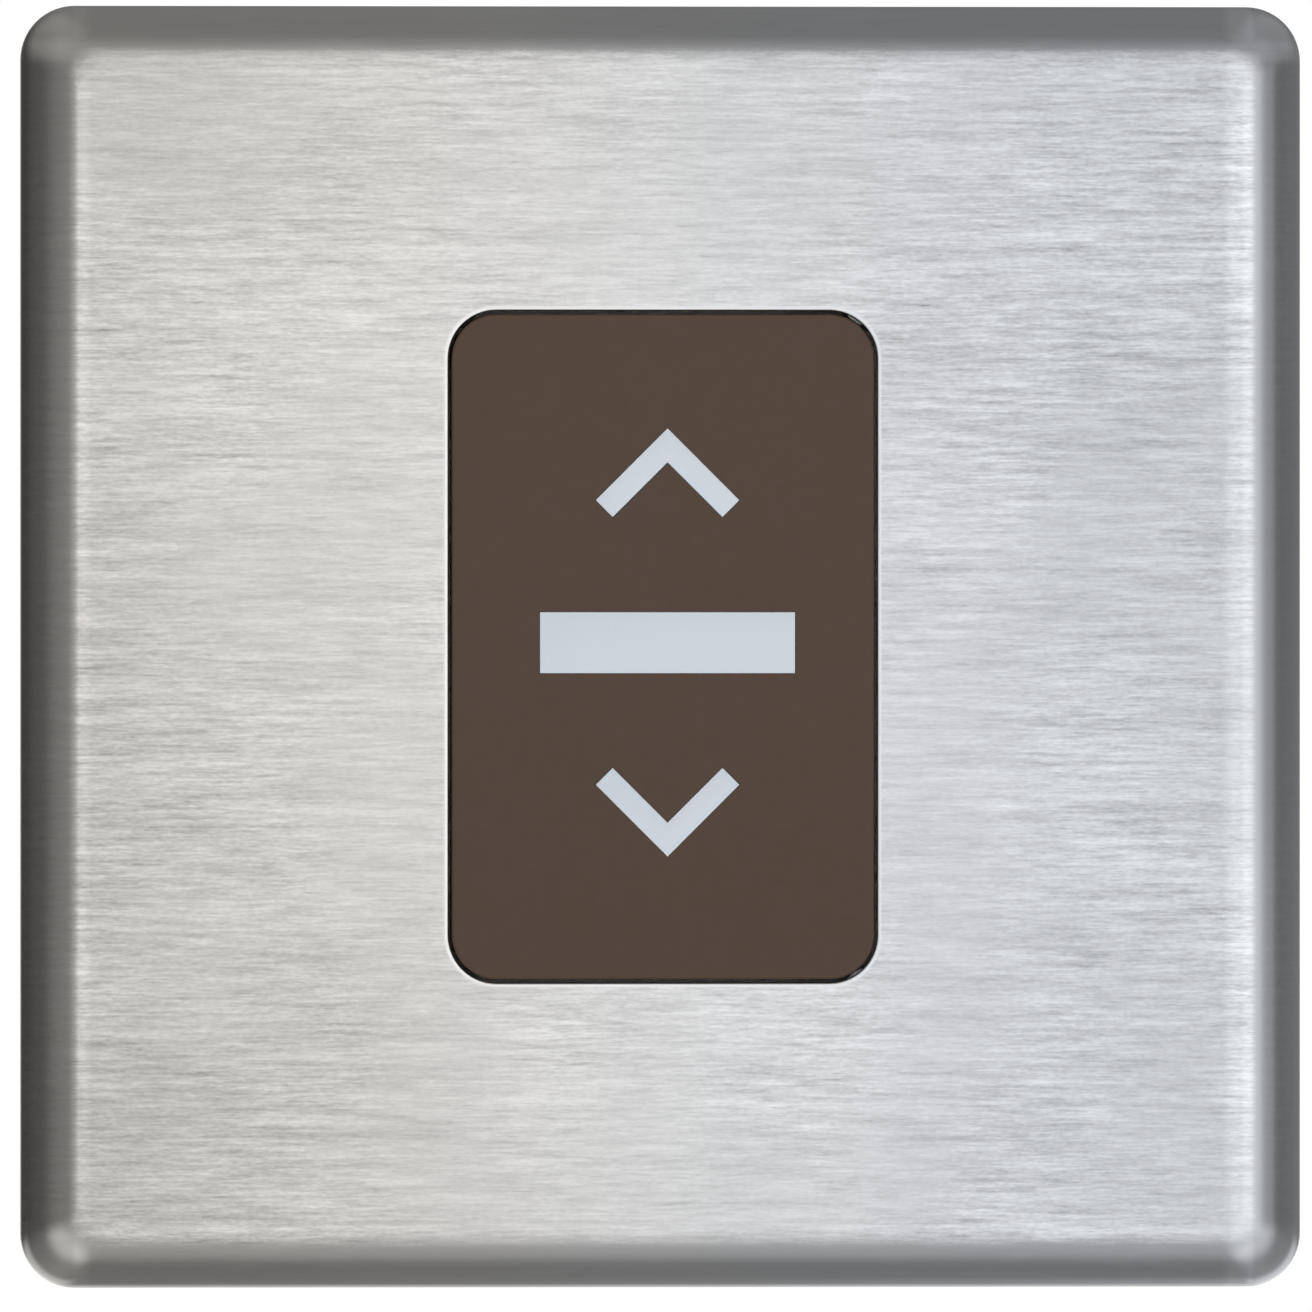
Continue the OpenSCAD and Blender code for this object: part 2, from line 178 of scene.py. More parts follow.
# ------------------------------------------------------------------- materials
def brushed_plate():
    """Stainless sheet, brushed along X on its face; its rolled band is smoother."""
    m, t, b = material("stainless_brushed")
    p = t.coords()
    sep = t.node("ShaderNodeSeparateXYZ")
    t.put(sep.inputs[0], t.node("ShaderNodeTexCoord").outputs["Normal"])
    flat = t.span(t.math("ABSOLUTE", sep.outputs["Y"]), 0.955, 0.995)
    warp = t.noise(t.stretch(p, (60, 60, 60)), 1, 2, 0.5)
    pos = t.node("ShaderNodeSeparateXYZ")
    t.put(pos.inputs[0], p)
    bend = t.node("ShaderNodeCombineXYZ")
    t.put(bend.inputs[0], pos.outputs["X"])
    t.put(bend.inputs[1], pos.outputs["Y"])
    t.put(bend.inputs[2], t.math("ADD", pos.outputs["Z"], t.math("MULTIPLY", warp, 0.00014)))
    q = bend.outputs[0]
    long = t.noise(t.stretch(q, (185, 500, 2700)), 1, 3, 0.60)
    fine = t.noise(t.stretch(q, (470, 1200, 5200), shift=(3.1, 0, 7.7)), 1, 3, 0.62)
    hair = t.noise(t.stretch(q, (2300, 3000, 7200), shift=(9.3, 0, 1.9)), 1, 2, 0.5)
    wide = t.noise(t.stretch(q, (70, 120, 720), shift=(5.5, 0, 2.2)), 1, 2, 0.5)
    blot = t.noise(t.stretch(p, (60, 42, 46), shift=(1.7, 4.0, 0.3)), 1, 3, 0.55)
    cloud = t.noise(t.stretch(p, (16, 16, 20), shift=(0.4, 2.0, 5.1)), 1, 1, 0.4)
    grain = t.math("ADD", t.math("MULTIPLY", t.math("SUBTRACT", long, 0.5), 0.95),
                   t.math("MULTIPLY", t.math("SUBTRACT", fine, 0.5), 0.78))
    grain = t.math("ADD", grain, t.math("MULTIPLY", t.math("SUBTRACT", hair, 0.5), 0.52))
    grain = t.math("ADD", grain, t.math("MULTIPLY", t.math("SUBTRACT", wide, 0.5), 0.34))
    # the belt bit deeper in some patches than in others
    grain = t.math("MULTIPLY", grain, t.span(blot, 0.36, 0.64, 0.60, 1.12))
    face_gain = t.math("MULTIPLY", grain, t.math("ADD", t.math("MULTIPLY", flat, 0.90), 0.10))
    value = t.math("ADD", 1.0, face_gain)
    value = t.math("ADD", value, t.math("MULTIPLY", t.math("SUBTRACT", blot, 0.5), 0.16))
    value = t.math("ADD", value, t.math("MULTIPLY", t.math("SUBTRACT", cloud, 0.5), 0.18))
    # painted reflection tint: the sheet is a touch warmer towards -X and cooler towards +X
    side = t.span(pos.outputs["X"], -0.036, 0.030)
    tint_with_painted_reflection = t.mix(side, (0.570, 0.554, 0.527, 1), (0.526, 0.541, 0.566, 1))
    # painted shade: darker, down to 0.84 of the value, towards the lower corner at -X and -Z
    painted_shade_slope = t.math("ADD", t.math("MULTIPLY", pos.outputs["X"], 0.8), t.math("MULTIPLY", pos.outputs["Z"], 0.55))
    painted_shade_slope = t.math("ADD", painted_shade_slope, t.math("MULTIPLY", t.math("SUBTRACT", cloud, 0.5), 0.03))
    value = t.math("MULTIPLY", value, t.span(painted_shade_slope, -0.055, -0.012, 0.84, 1.0))
    # painted highlight: brighter bands just inside the pressed edge on all four sides, strongest at +Z and +X
    painted_crease_highlight = None
    for axis, way, r0, r1, r2, r3, gain in (
        ("X", 1.0, 0.0374, 0.0384, 0.0394, 0.0399, 0.20),
        ("X", -1.0, 0.0381, 0.0388, 0.0392, 0.0397, 0.12),
        ("Z", 1.0, 0.0389, 0.0396, 0.0402, 0.0410, 0.24),
        ("Z", -1.0, 0.0384, 0.0391, 0.0393, 0.0400, 0.12),
    ):
        v = t.math("MULTIPLY", pos.outputs[axis], way)
        k = t.math("MULTIPLY", t.math("MULTIPLY", t.span(v, r0, r1), t.span(v, r2, r3, 1.0, 0.0)), gain)
        painted_crease_highlight = k if painted_crease_highlight is None else t.math("MAXIMUM", painted_crease_highlight, k)
    painted_crease_highlight = t.math("MULTIPLY", painted_crease_highlight, t.math("ADD", 0.6, t.math("MULTIPLY", blot, 0.8)))
    value = t.math("MULTIPLY", value, t.math("ADD", 1.0, painted_crease_highlight))
    # painted highlight: the rounded cut edge of the window is painted bright
    window_edge_highlight = t.node("ShaderNodeAttribute", attribute_name="window_edge_highlight").outputs["Fac"]
    value = t.math("ADD", t.math("MULTIPLY", value, t.math("SUBTRACT", 1.0, window_edge_highlight)), t.math("MULTIPLY", window_edge_highlight, 1.27))
    t.put(b.inputs["Base Color"], t.scale_colour(tint_with_painted_reflection, value))
    b.inputs["Metallic"].default_value = 1.0
    rough = t.math("ADD", 0.235, t.math("MULTIPLY", flat, 0.085))
    rough = t.math("ADD", rough, t.math("MULTIPLY", grain, 0.10))
    t.put(b.inputs["Roughness"], rough)
    b.inputs["Anisotropic"].default_value = 0.55
    b.inputs["Anisotropic Rotation"].default_value = 0.25
    tan = t.node("ShaderNodeTangent", direction_type="UV_MAP")
    tan.uv_map = "UVMap"
    t.put(b.inputs["Tangent"], tan.outputs[0])
    height = t.math("MULTIPLY", grain, t.math("ADD", t.math("MULTIPLY", flat, 0.9), 0.1))
    t.put(b.inputs["Normal"], t.bump(height, 0.22, 0.00002))
    return m


def moulded(name, colour, rough=0.42, speck=0.05, grain=9000.0, depth=0.00002, strength=0.35, spec=0.4):
    """Moulded plastic with a fine spark-eroded texture, slight mottling and polished rubs."""
    m, t, b = material(name)
    p = t.coords()
    spark = t.noise(p, grain, 3, 0.6)
    soft = t.noise(p, grain * 0.16, 3, 0.5)
    mottle = t.noise(p, 140, 3, 0.55)
    value = t.math("ADD", 1.0, t.math("MULTIPLY", t.math("SUBTRACT", spark, 0.5), speck * 2))
    value = t.math("ADD", value, t.math("MULTIPLY", t.math("SUBTRACT", mottle, 0.5), speck * 1.6))
    t.put(b.inputs["Base Color"], t.scale_colour(t.rgb(colour), value))
    r = t.math("ADD", rough, t.math("MULTIPLY", t.math("SUBTRACT", soft, 0.5), 0.16))
    r = t.math("ADD", r, t.math("MULTIPLY", t.math("SUBTRACT", mottle, 0.5), 0.12))
    t.put(b.inputs["Roughness"], r)
    b.inputs["Specular IOR Level"].default_value = spec
    h = t.math("ADD", spark, t.math("MULTIPLY", soft, 0.7))
    t.put(b.inputs["Normal"], t.bump(h, strength, depth))
    return m


def plated(name, colour, rough=0.30, tint=(0.9, 0.95, 1.0), spangle=900.0):
    """Zinc or nickel plate: fine spangle, drawing lines and faint colour bloom."""
    m, t, b = material(name)
    p = t.coords()
    cell = t.cells(p, spangle)
    lines = t.noise(t.stretch(p, (300, 9000, 2500)), 1, 3, 0.6)
    bloom = t.noise(p, 190, 3, 0.6)
    sep = t.node("ShaderNodeSeparateColor")
    t.put(sep.inputs[0], cell["Color"])
    value = t.math("ADD", 0.93, t.math("MULTIPLY", sep.outputs[0], 0.12))
    value = t.math("ADD", value, t.math("MULTIPLY", t.math("SUBTRACT", lines, 0.5), 0.22))
    base = t.mix(t.span(bloom, 0.35, 0.65), (*colour, 1), tuple(c * k for c, k in zip(colour, tint)) + (1,))
    t.put(b.inputs["Base Color"], t.scale_colour(base, value))
    b.inputs["Metallic"].default_value = 1.0
    r = t.math("ADD", rough, t.math("MULTIPLY", t.math("SUBTRACT", sep.outputs[1], 0.5), 0.10))
    r = t.math("ADD", r, t.math("MULTIPLY", t.math("SUBTRACT", lines, 0.5), 0.25))
    t.put(b.inputs["Roughness"], r)
    t.put(b.inputs["Normal"], t.bump(lines, 0.18, 0.00002))
    return m


def machined(name, colour, dark, rough=0.24, lines=(2600, 12000, 2600)):
    """Machined brass or copper: tool lines, patches of handling tarnish."""
    m, t, b = material(name)
    p = t.coords()
    tool = t.noise(t.stretch(p, lines), 1, 3, 0.6)
    tarnish = t.noise(p, 420, 4, 0.62)
    fleck = t.noise(p, 3600, 2, 0.5)
    base = t.mix(t.span(tarnish, 0.42, 0.72), (*colour, 1), (*dark, 1))
    value = t.math("ADD", 1.0, t.math("MULTIPLY", t.math("SUBTRACT", tool, 0.5), 0.28))
    t.put(b.inputs["Base Color"], t.scale_colour(base, value))
    b.inputs["Metallic"].default_value = 1.0
    r = t.math("ADD", rough, t.math("MULTIPLY", t.math("SUBTRACT", tarnish, 0.5), 0.35))
    r = t.math("ADD", r, t.math("MULTIPLY", t.math("SUBTRACT", fleck, 0.5), 0.12))
    t.put(b.inputs["Roughness"], r)
    t.put(b.inputs["Normal"], t.bump(tool, 0.22, 0.00002))
    return m


def soft_rubber(name, colour):
    """Closed-cell foam rubber: open pores at the skin and a dusty bloom."""
    m, t, b = material(name)
    p = t.coords()
    pore = t.cells(p, 3800, "SMOOTH_F1")["Distance"]
    bloom = t.noise(p, 260, 4, 0.6)
    base = t.mix(t.span(bloom, 0.4, 0.8), (*colour, 1), tuple(c * 1.9 for c in colour) + (1,))
    t.put(b.inputs["Base Color"], base)
    t.put(b.inputs["Roughness"], t.math("ADD", 0.72, t.math("MULTIPLY", bloom, 0.2)))
    b.inputs["Specular IOR Level"].default_value = 0.25
    t.put(b.inputs["Normal"], t.bump(pore, 0.55, 0.00006))
    return m


STEEL = brushed_plate()
BROWN = moulded("brown_plastic", (0.053, 0.0315, 0.0205), 0.46, 0.05, 8500, 0.000016, 0.30, 0.28)
GREY = moulded("legend_grey", (0.441, 0.478, 0.521), 0.42, 0.02, 9000, 0.000012, 0.2, 0.35)
BLACK = moulded("black_plastic", (0.022, 0.022, 0.024), 0.44, 0.10, 6500, 0.00003, 0.5, 0.45)
CREAM = moulded("cream_plastic", (0.74, 0.73, 0.69), 0.40, 0.03, 7000, 0.00002, 0.3, 0.42)
NYLON = moulded("natural_nylon", (0.80, 0.78, 0.71), 0.36, 0.03, 5200, 0.00002, 0.3, 0.45)
ZINC = plated("zinc_plate", (0.66, 0.69, 0.72), 0.30, (1.0, 0.97, 0.86))
BRIGHT = plated("nickel_plate", (0.78, 0.77, 0.74), 0.19, (0.97, 0.98, 1.0), 2400)
WIRE = plated("spring_wire", (0.50, 0.51, 0.53), 0.26, (0.9, 0.93, 1.0), 2600)
BRASS = machined("brass_machined", (0.78, 0.57, 0.25), (0.50, 0.33, 0.15))
STRIP = machined("brass_strip", (0.80, 0.58, 0.28), (0.56, 0.36, 0.18), 0.22, (700, 9000, 700))
SILVER = plated("silver_tip", (0.90, 0.89, 0.86), 0.22, (0.92, 0.90, 0.84), 3200)
FOAM = soft_rubber("gasket_foam", (0.030, 0.030, 0.031))


# ---------------------------------------------------------------- mesh helpers
def finish_mesh(obj, mat, body=None, stands_for=(), sharp=32.0):
    """Marks hard edges by angle, smooths the rest, gives the material, rides the body."""
    me = obj.data
    bm = bmesh.new()
    bm.from_mesh(me)
    bmesh.ops.remove_doubles(bm, verts=bm.verts, dist=1e-7)
    bmesh.ops.recalc_face_normals(bm, faces=bm.faces)
    limit = math.radians(sharp)
    for e in bm.edges:
        e.smooth = not (len(e.link_faces) == 2 and e.calc_face_angle(0.0) > limit)
    for f in bm.faces:
        f.smooth = True
    bm.to_mesh(me)
    bm.free()
    me.materials.clear()
    me.materials.append(mat)
    me.update()
    if body:
        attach(obj, body)
    if stands_for:
        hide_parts(*stands_for)
    return obj


def new_object(name, verts, faces):
    me = bpy.data.meshes.new(name)
    me.from_pydata([tuple(v) for v in verts], [], [tuple(f) for f in faces])
    me.validate()
    obj = bpy.data.objects.new(name, me)
    scene.collection.objects.link(obj)
    return obj


def ring(xl, xr, zb, zt, r, y, seg=12):
    """A rounded rectangle in mm with seg+1 points in each corner, anticlockwise from +X.
    y is one depth, or four of them: at the right, top, left and bottom side."""
    side = y if isinstance(y, (tuple, list)) else (y, y, y, y)
    pts = []
    for k, (cx, cz) in enumerate(((xr - r, zt - r), (xl + r, zt - r), (xl + r, zb + r), (xr - r, zb + r))):
        for i in range(seg + 1):
            a = math.radians(90 * i / seg)
            w = math.sin(a) ** 2
            yy = side[k] * (1 - w) + side[(k + 1) % 4] * w
            a += math.radians(90 * k)
            pts.append(((cx + r * math.cos(a)) * MM, yy * MM, (cz + r * math.sin(a)) * MM))
    return pts


def loft(rings, closed=False, cap_first=False, cap_last=False):
    n = len(rings[0])
    verts = [v for r in rings for v in r]
    faces = []
    m = len(rings)
    for i in range(m if closed else m - 1):
        j = (i + 1) % m
        for k in range(n):
            l = (k + 1) % n
            faces.append((i * n + k, i * n + l, j * n + l, j * n + k))
    if cap_first:
        faces.append(tuple(range(n))[::-1])
    if cap_last:
        faces.append(tuple((m - 1) * n + k for k in range(n)))
    return verts, faces


def revolve(profile, centre, seg=40, axis="Y"):
    """Turns a closed (radius, height) profile in mm about an axis through centre."""
    verts, faces = [], []
    n = len(profile)
    for i in range(seg):
        a = 2 * math.pi * i / seg
        for r, h in profile:
            c, s = r * math.cos(a), r * math.sin(a)
            v = {"Y": (c, h, s), "X": (h, c, s), "Z": (c, s, h)}[axis]
            verts.append(tuple((v[q] + centre[q]) * MM for q in range(3)))
    for i in range(seg):
        j = (i + 1) % seg
        for k in range(n - 1):
            faces.append((i * n + k, i * n + k + 1, j * n + k + 1, j * n + k))
    return verts, faces


def join_parts(parts):
    verts, faces = [], []
    for v, f in parts:
        o = len(verts)
        verts += list(v)
        faces += [tuple(i + o for i in q) for q in f]
    return verts, faces


def outward(obj):
    """Turns every face outward."""
    bm = bmesh.new()
    bm.from_mesh(obj.data)
    bmesh.ops.recalc_face_normals(bm, faces=bm.faces)
    bm.to_mesh(obj.data)
    bm.free()


def apply_modifiers(obj):
    """Replaces the object's mesh by what its modifiers make of it."""
    bpy.context.view_layer.update()
    dg = bpy.context.evaluated_depsgraph_get()
    me = bpy.data.meshes.new_from_object(obj.evaluated_get(dg))
    obj.modifiers.clear()
    old = obj.data
    obj.data = me
    bpy.data.meshes.remove(old)
    return obj


def cut(obj, verts, faces):
    """Takes a closed shape out of obj."""
    tool = new_object("tool", verts, faces)
    outward(tool)
    mod = obj.modifiers.new("cut", "BOOLEAN")
    mod.operation = "DIFFERENCE"
    mod.solver = "EXACT"
    mod.object = tool
    apply_modifiers(obj)
    bpy.data.objects.remove(tool, do_unlink=True)
    return obj


def prism(points, y0, y1):
    """A flat shape in the XZ plane, in mm, given thickness from y0 to y1."""
    n = len(points)
    verts = [(x * MM, y0 * MM, z * MM) for x, z in points] + [(x * MM, y1 * MM, z * MM) for x, z in points]
    faces = [tuple(range(n))[::-1], tuple(range(n, 2 * n))]
    faces += [(i, (i + 1) % n, n + (i + 1) % n, n + i) for i in range(n)]
    return verts, faces


def bevelled(obj, width, seg=2, angle=35):
    mod = obj.modifiers.new("bevel", "BEVEL")
    mod.width = width * MM
    mod.segments = seg
    mod.limit_method = "ANGLE"
    mod.angle_limit = math.radians(angle)
    mod.use_clamp_overlap = True
    mod.harden_normals = False
    return apply_modifiers(obj)


def from_cad(name, width=0.12, seg=2, angle=35):
    """A new piece with the CAD node's shape, welded and with its edges broken."""
    src = nodes_of[name]
    me = src.data.copy()
    obj = bpy.data.objects.new(name + "_piece", me)
    scene.collection.objects.link(obj)
    obj.matrix_world = src.matrix_world.copy()
    me.materials.clear()
    bm = bmesh.new()
    bm.from_mesh(me)
    bmesh.ops.remove_doubles(bm, verts=bm.verts, dist=2e-7)
    bmesh.ops.dissolve_limit(bm, angle_limit=math.radians(0.6), verts=bm.verts, edges=bm.edges)
    bm.to_mesh(me)
    bm.free()
    if width:
        bevelled(obj, width, seg, angle)
    return obj


# ----------------------------------------------------------- sizes from the CAD
def mm_box(name):
    lo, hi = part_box(name)
    return [c * 1000 for c in lo], [c * 1000 for c in hi]


plate_lo, plate_hi = mm_box("front_plate")
cap_lo, cap_hi = mm_box("rocker_cap")
H = plate_hi[0]
FACE = plate_lo[1]
RIM = plate_hi[1]
CAPW, CAPH = cap_hi[0], cap_hi[2]
CAPF, CAPB = cap_lo[1], cap_hi[1]
SIDE_GAP, END_GAP = 0.20, 0.25
RC = 3.0


# ------------------------------------------------------------------ front plate
def front_plate():
    corner = 3.65
    left, right, top, bottom = 3.64, 3.32, 3.05, 2.95
    # width over which the flat face rounds into the band: right, top, left, bottom
    soft = (0.95, 1.05, 0.25, 1.25)
    phi0 = math.radians(15)
    R = 1.0 / (1 - math.sin(phi0))
    depth = (RIM - FACE) * 0.87
    k_depth = depth / (R * math.cos(phi0))
    drop = [w * math.tan(phi0) * 0.5 * 0.85 for w in soft]

    def at(share, y, r, extra=0.0, grow=None):
        """An outline; share 1 is the crease, 0 the outer edge, extra goes further in."""
        g = grow or (extra,) * 4
        return ring(-H + left * share + g[2], H - right * share - g[0],
                    -H + bottom * share + g[3], H - top * share - g[1], r, y, 14)

    outer = []
    steps = 16
    for i in range(steps + 1):
        phi = phi0 + (math.pi / 2 - phi0) * i / steps
        share = 1 - R * (math.sin(phi) - math.sin(phi0))
        fall = R * (math.cos(phi0) - math.cos(phi)) * k_depth / depth
        outer.append((max(share, 0.0), tuple(FACE + d + (depth - d) * fall for d in drop)))
    rings = []
    # underside, from the window out to the rim
    t = 1.0
    win = lambda grow, y, r: ring(-CAPW - SIDE_GAP - grow, CAPW + SIDE_GAP + grow, -CAPH - END_GAP - grow, CAPH + END_GAP + grow, r, y, 14)
    rings.append(win(0.02, FACE + 0.55, RC + SIDE_GAP))
    rings.append(win(0.06, FACE + t - 0.05, RC + SIDE_GAP + 0.05))
    rings.append(win(0.25, FACE + t, RC + SIDE_GAP + 0.2))
    rings.append(win(0.8, FACE + t, RC + SIDE_GAP + 0.6))
    rings.append(at(1.0, FACE + t, 1.9, 1.2))
    rings.append(at(1.0, FACE + t, 1.7, 0.6))
    for share, y in ((0.74, 0.33), (0.48, 0.86), (0.27, 1.5), (0.11, 2.3), (0.02, 3.0)):
        rings.append(ring(-H + t + left * share, H - t - right * share, -H + t + bottom * share,
                          H - t - top * share, 1.7 + 1.3 * (1 - share), FACE + t + y, 14))
    rings.append(at(0, RIM - 0.08, corner - 0.7, t))
    rings.append(at(0, RIM, corner - 0.65, t - 0.08))
    # rim edge and up the rolled band to the face
    rings.append(at(0, RIM, corner - 0.06, 0.06))
    rings.append(at(0, RIM - 0.06, corner, 0.0))
    for share, y in reversed(outer):
        rings.append(at(share, y, corner - 1.35 * share))
    # the crease is rounded, softer on three sides, then comes the flat face
    for i in range(1, 9):
        u = i / 8
        rings.append(at(1.0, tuple(FACE + d * (1 - u) ** 2 for d in drop), corner - 1.35 - 0.1 * u,
                        grow=[w * u for w in soft]))
    rings.append(at(1.0, FACE, corner - 1.45, grow=[w + 0.3 for w in soft]))
    rings.append(win(0.60, FACE, RC + SIDE_GAP + 0.4))
    rings.append(win(0.36, FACE, RC + SIDE_GAP + 0.3))
    # the next five rings round the window's cut edge, where the steel paints a highlight
    window_edge_highlight_from = len(rings)
    rings.append(win(0.18, FACE, RC + SIDE_GAP + 0.14))
    for i in range(1, 6):
        a = math.radians(90 * i / 5)
        rings.append(win(0.12 - 0.12 * math.sin(a), FACE + 0.12 * (1 - math.cos(a)), RC + SIDE_GAP + 0.1 * (1 - math.sin(a))))
    verts, faces = loft(rings, closed=True)
    obj = new_object("front_plate_sheet", verts, faces)
    # marks the window edge rings that get the painted highlight
    window_edge_highlight = obj.data.attributes.new("window_edge_highlight", "FLOAT", "POINT")
    per_ring = len(rings[0])
    for i in range(len(verts)):
        window_edge_highlight.data[i].value = 1.0 if window_edge_highlight_from <= i // per_ring < window_edge_highlight_from + 5 else 0.0
    finish_mesh(obj, STEEL, "face_plate", ["front_plate"], 50)
    me = obj.data
    uv = me.uv_layers.new(name="UVMap")
    for loop in me.loops:
        co = me.vertices[loop.vertex_index].co
        uv.data[loop.index].uv = (co.x * 10 + 0.5, co.z * 10 + 0.5 + co.y * 3)
    return obj


front_plate()


# ----------------------------------------------------------------- rocker cap
SYM_X = 0.3
CH_T, CH_REACH = 1.62, 4.25
UP, DOWN = 13.49, -12.92


def chevron(apex, sign, grow=0.0):
    e = (CH_T / 2 + grow) * math.sqrt(2) / 2
    q = CH_REACH + grow * math.sqrt(2) / 2
    pts = [(0, apex + sign * 2 * e), (q + e, apex - sign * (q - e)), (q - e, apex - sign * (q + e)),
           (0, apex - sign * 2 * e), (-q + e, apex - sign * (q + e)), (-q - e, apex - sign * (q - e))]
    pts = [(x + SYM_X, z) for x, z in pts]
    return pts if sign < 0 else pts[::-1]


def bar(grow=0.0):
    a, b, c = 8.55 + grow, 2.05 + grow, 0.27
    return [(SYM_X - a, c - b), (SYM_X - a, c + b), (SYM_X + a, c + b), (SYM_X + a, c - b)]


def rocker_cap():
    w, h, wall = CAPW, CAPH, 1.2
    rings = []
    inner = lambda extra, y: ring(-w + wall + extra, w - wall - extra, -h + wall + extra, h - wall - extra, RC - wall, y, 14)
    outer = lambda extra, y, r=RC: ring(-w + extra, w - extra, -h + extra, h - extra, r - extra * 0.6, y, 14)
    rings.append(inner(0.4, CAPF + 1.0))
    rings.append(inner(0.0, CAPF + 1.2))
    rings.append(inner(0.0, CAPB - 0.1))
    rings.append(inner(-0.1, CAPB))
    rings.append(outer(0.12, CAPB))
    rings.append(outer(0.0, CAPB - 0.12))
    f = 0.14
    rings.append(outer(0.0, CAPF + f + 0.2))
    for i in range(0, 8):
        a = math.radians(90 * i / 7)
        rings.append(outer(f * (1 - math.cos(a)), CAPF + f * (1 - math.sin(a))))
    rings.append(outer(f + 0.25, CAPF))
    verts, faces = loft(rings, cap_first=True, cap_last=True)
    obj = new_object("rocker_skin", verts, faces)
    finish_mesh(obj, BROWN)
    for pts in (chevron(UP, 1, 0.02), chevron(DOWN, -1, 0.02), bar(0.02)):
        cut(obj, *prism(pts, CAPF - 1, CAPF + 2))
    finish_mesh(obj, BROWN, "rocker", ["rocker_cap"], 40)
    return obj


rocker_cap()


def legend():
    w, h = CAPW - 1.3, CAPH - 1.3
    plate = loft([ring(-w, w, -h, h, 1.7, CAPF + 1.7), ring(-w, w, -h, h, 1.7, CAPF + 1.02)],
                 cap_first=True, cap_last=True)
    obj = new_object("legend_inlay", *plate)
    finish_mesh(obj, GREY)
    for pts in (chevron(UP, 1), chevron(DOWN, -1), bar()):
        tool = new_object("tool", *prism(pts, CAPF, CAPF + 1.3))
        finish_mesh(tool, GREY)
        bevelled(tool, 0.05, 2, 30)
        mod = obj.modifiers.new("add", "BOOLEAN")
        mod.operation = "UNION"
        mod.solver = "EXACT"
        mod.object = tool
        apply_modifiers(obj)
        bpy.data.objects.remove(tool, do_unlink=True)
    finish_mesh(obj, GREY, "rocker", ["legend_core"], 35)
    return obj


legend()


# -------------------------------------------------------- pieces from CAD nodes
def flat_shaded(obj):
    """Keeps large flat faces flat in shading, so only the broken edges curve."""
    mod = obj.modifiers.new("weighted", "WEIGHTED_NORMAL")
    mod.mode = "FACE_AREA"
    mod.weight = 100
    mod.keep_sharp = True
    return apply_modifiers(obj)


def piece(node, mat, body, width=0.12, seg=2, angle=35, sharp=50):
    obj = from_cad(node, width, seg, angle)
    finish_mesh(obj, mat, body, [node], sharp)
    return flat_shaded(obj)


BODY = {}
for b_name, names in frame["record"]["behaviour"]["bodies"].items():
    for n in names:
        BODY[n] = b_name

for node, mat, slot, width in (
    ("plate_gasket", FOAM, "soft_rubber", 0.10),
    ("plate_liner", BLACK, "black_plastic", 0.12),
    ("plate_clips", ZINC, "zinc_steel", 0.06),
    ("mounting_frame", ZINC, "zinc_steel", 0.12),
    ("rocker_carrier", BLACK, "black_plastic", 0.08),
    ("pivot_pin", BRIGHT, "bright_metal", 0.10),
    ("housing_cover", CREAM, "white_plastic", 0.12),
    ("housing_base", BLACK, "black_plastic", 0.22),
    ("housing_screws", ZINC, "zinc_steel", 0.06),
    ("up_plunger", NYLON, "white_plastic", 0.10),
    ("down_plunger", NYLON, "white_plastic", 0.10),
    ("up_bridge", STRIP, "brass", 0.08),
    ("down_bridge", STRIP, "brass", 0.08),
    ("up_bridge_tips", SILVER, "bright_metal", 0.12),
    ("down_bridge_tips", SILVER, "bright_metal", 0.12),
    ("common_bus", STRIP, "brass", 0.08),
    ("up_contact_strip", STRIP, "brass", 0.08),
    ("down_contact_strip", STRIP, "brass", 0.08),
    ("fixed_contact_tips", SILVER, "bright_metal", 0.12),
    ("common_terminal", BRASS, "brass", 0.14),
    ("up_terminal", BRASS, "brass", 0.14),
    ("down_terminal", BRASS, "brass", 0.14),
    ("earth_terminal", BRASS, "brass", 0.14),
):
    made = piece(node, mat, BODY[node], width)
    if node == "housing_base":
        base_piece = made
    if node == "mounting_frame":
        frame_piece = made


def box_2d(x0, x1, z0, z1):
    return [(x0, z0), (x1, z0), (x1, z1), (x0, z1)]


def stroke(a, b, w):
    """A straight line of width w from a to b, as a polygon."""
    d = Vector((b[0] - a[0], b[1] - a[1])).normalized()
    n = Vector((-d.y, d.x)) * (w / 2)
    return [(a[0] + n.x, a[1] + n.y), (a[0] - n.x, a[1] - n.y), (b[0] - n.x, b[1] - n.y), (b[0] + n.x, b[1] + n.y)]


def disc(x, z, r, seg=32):
    return [(x + r * math.cos(2 * math.pi * i / seg), z + r * math.sin(2 * math.pi * i / seg)) for i in range(seg)]


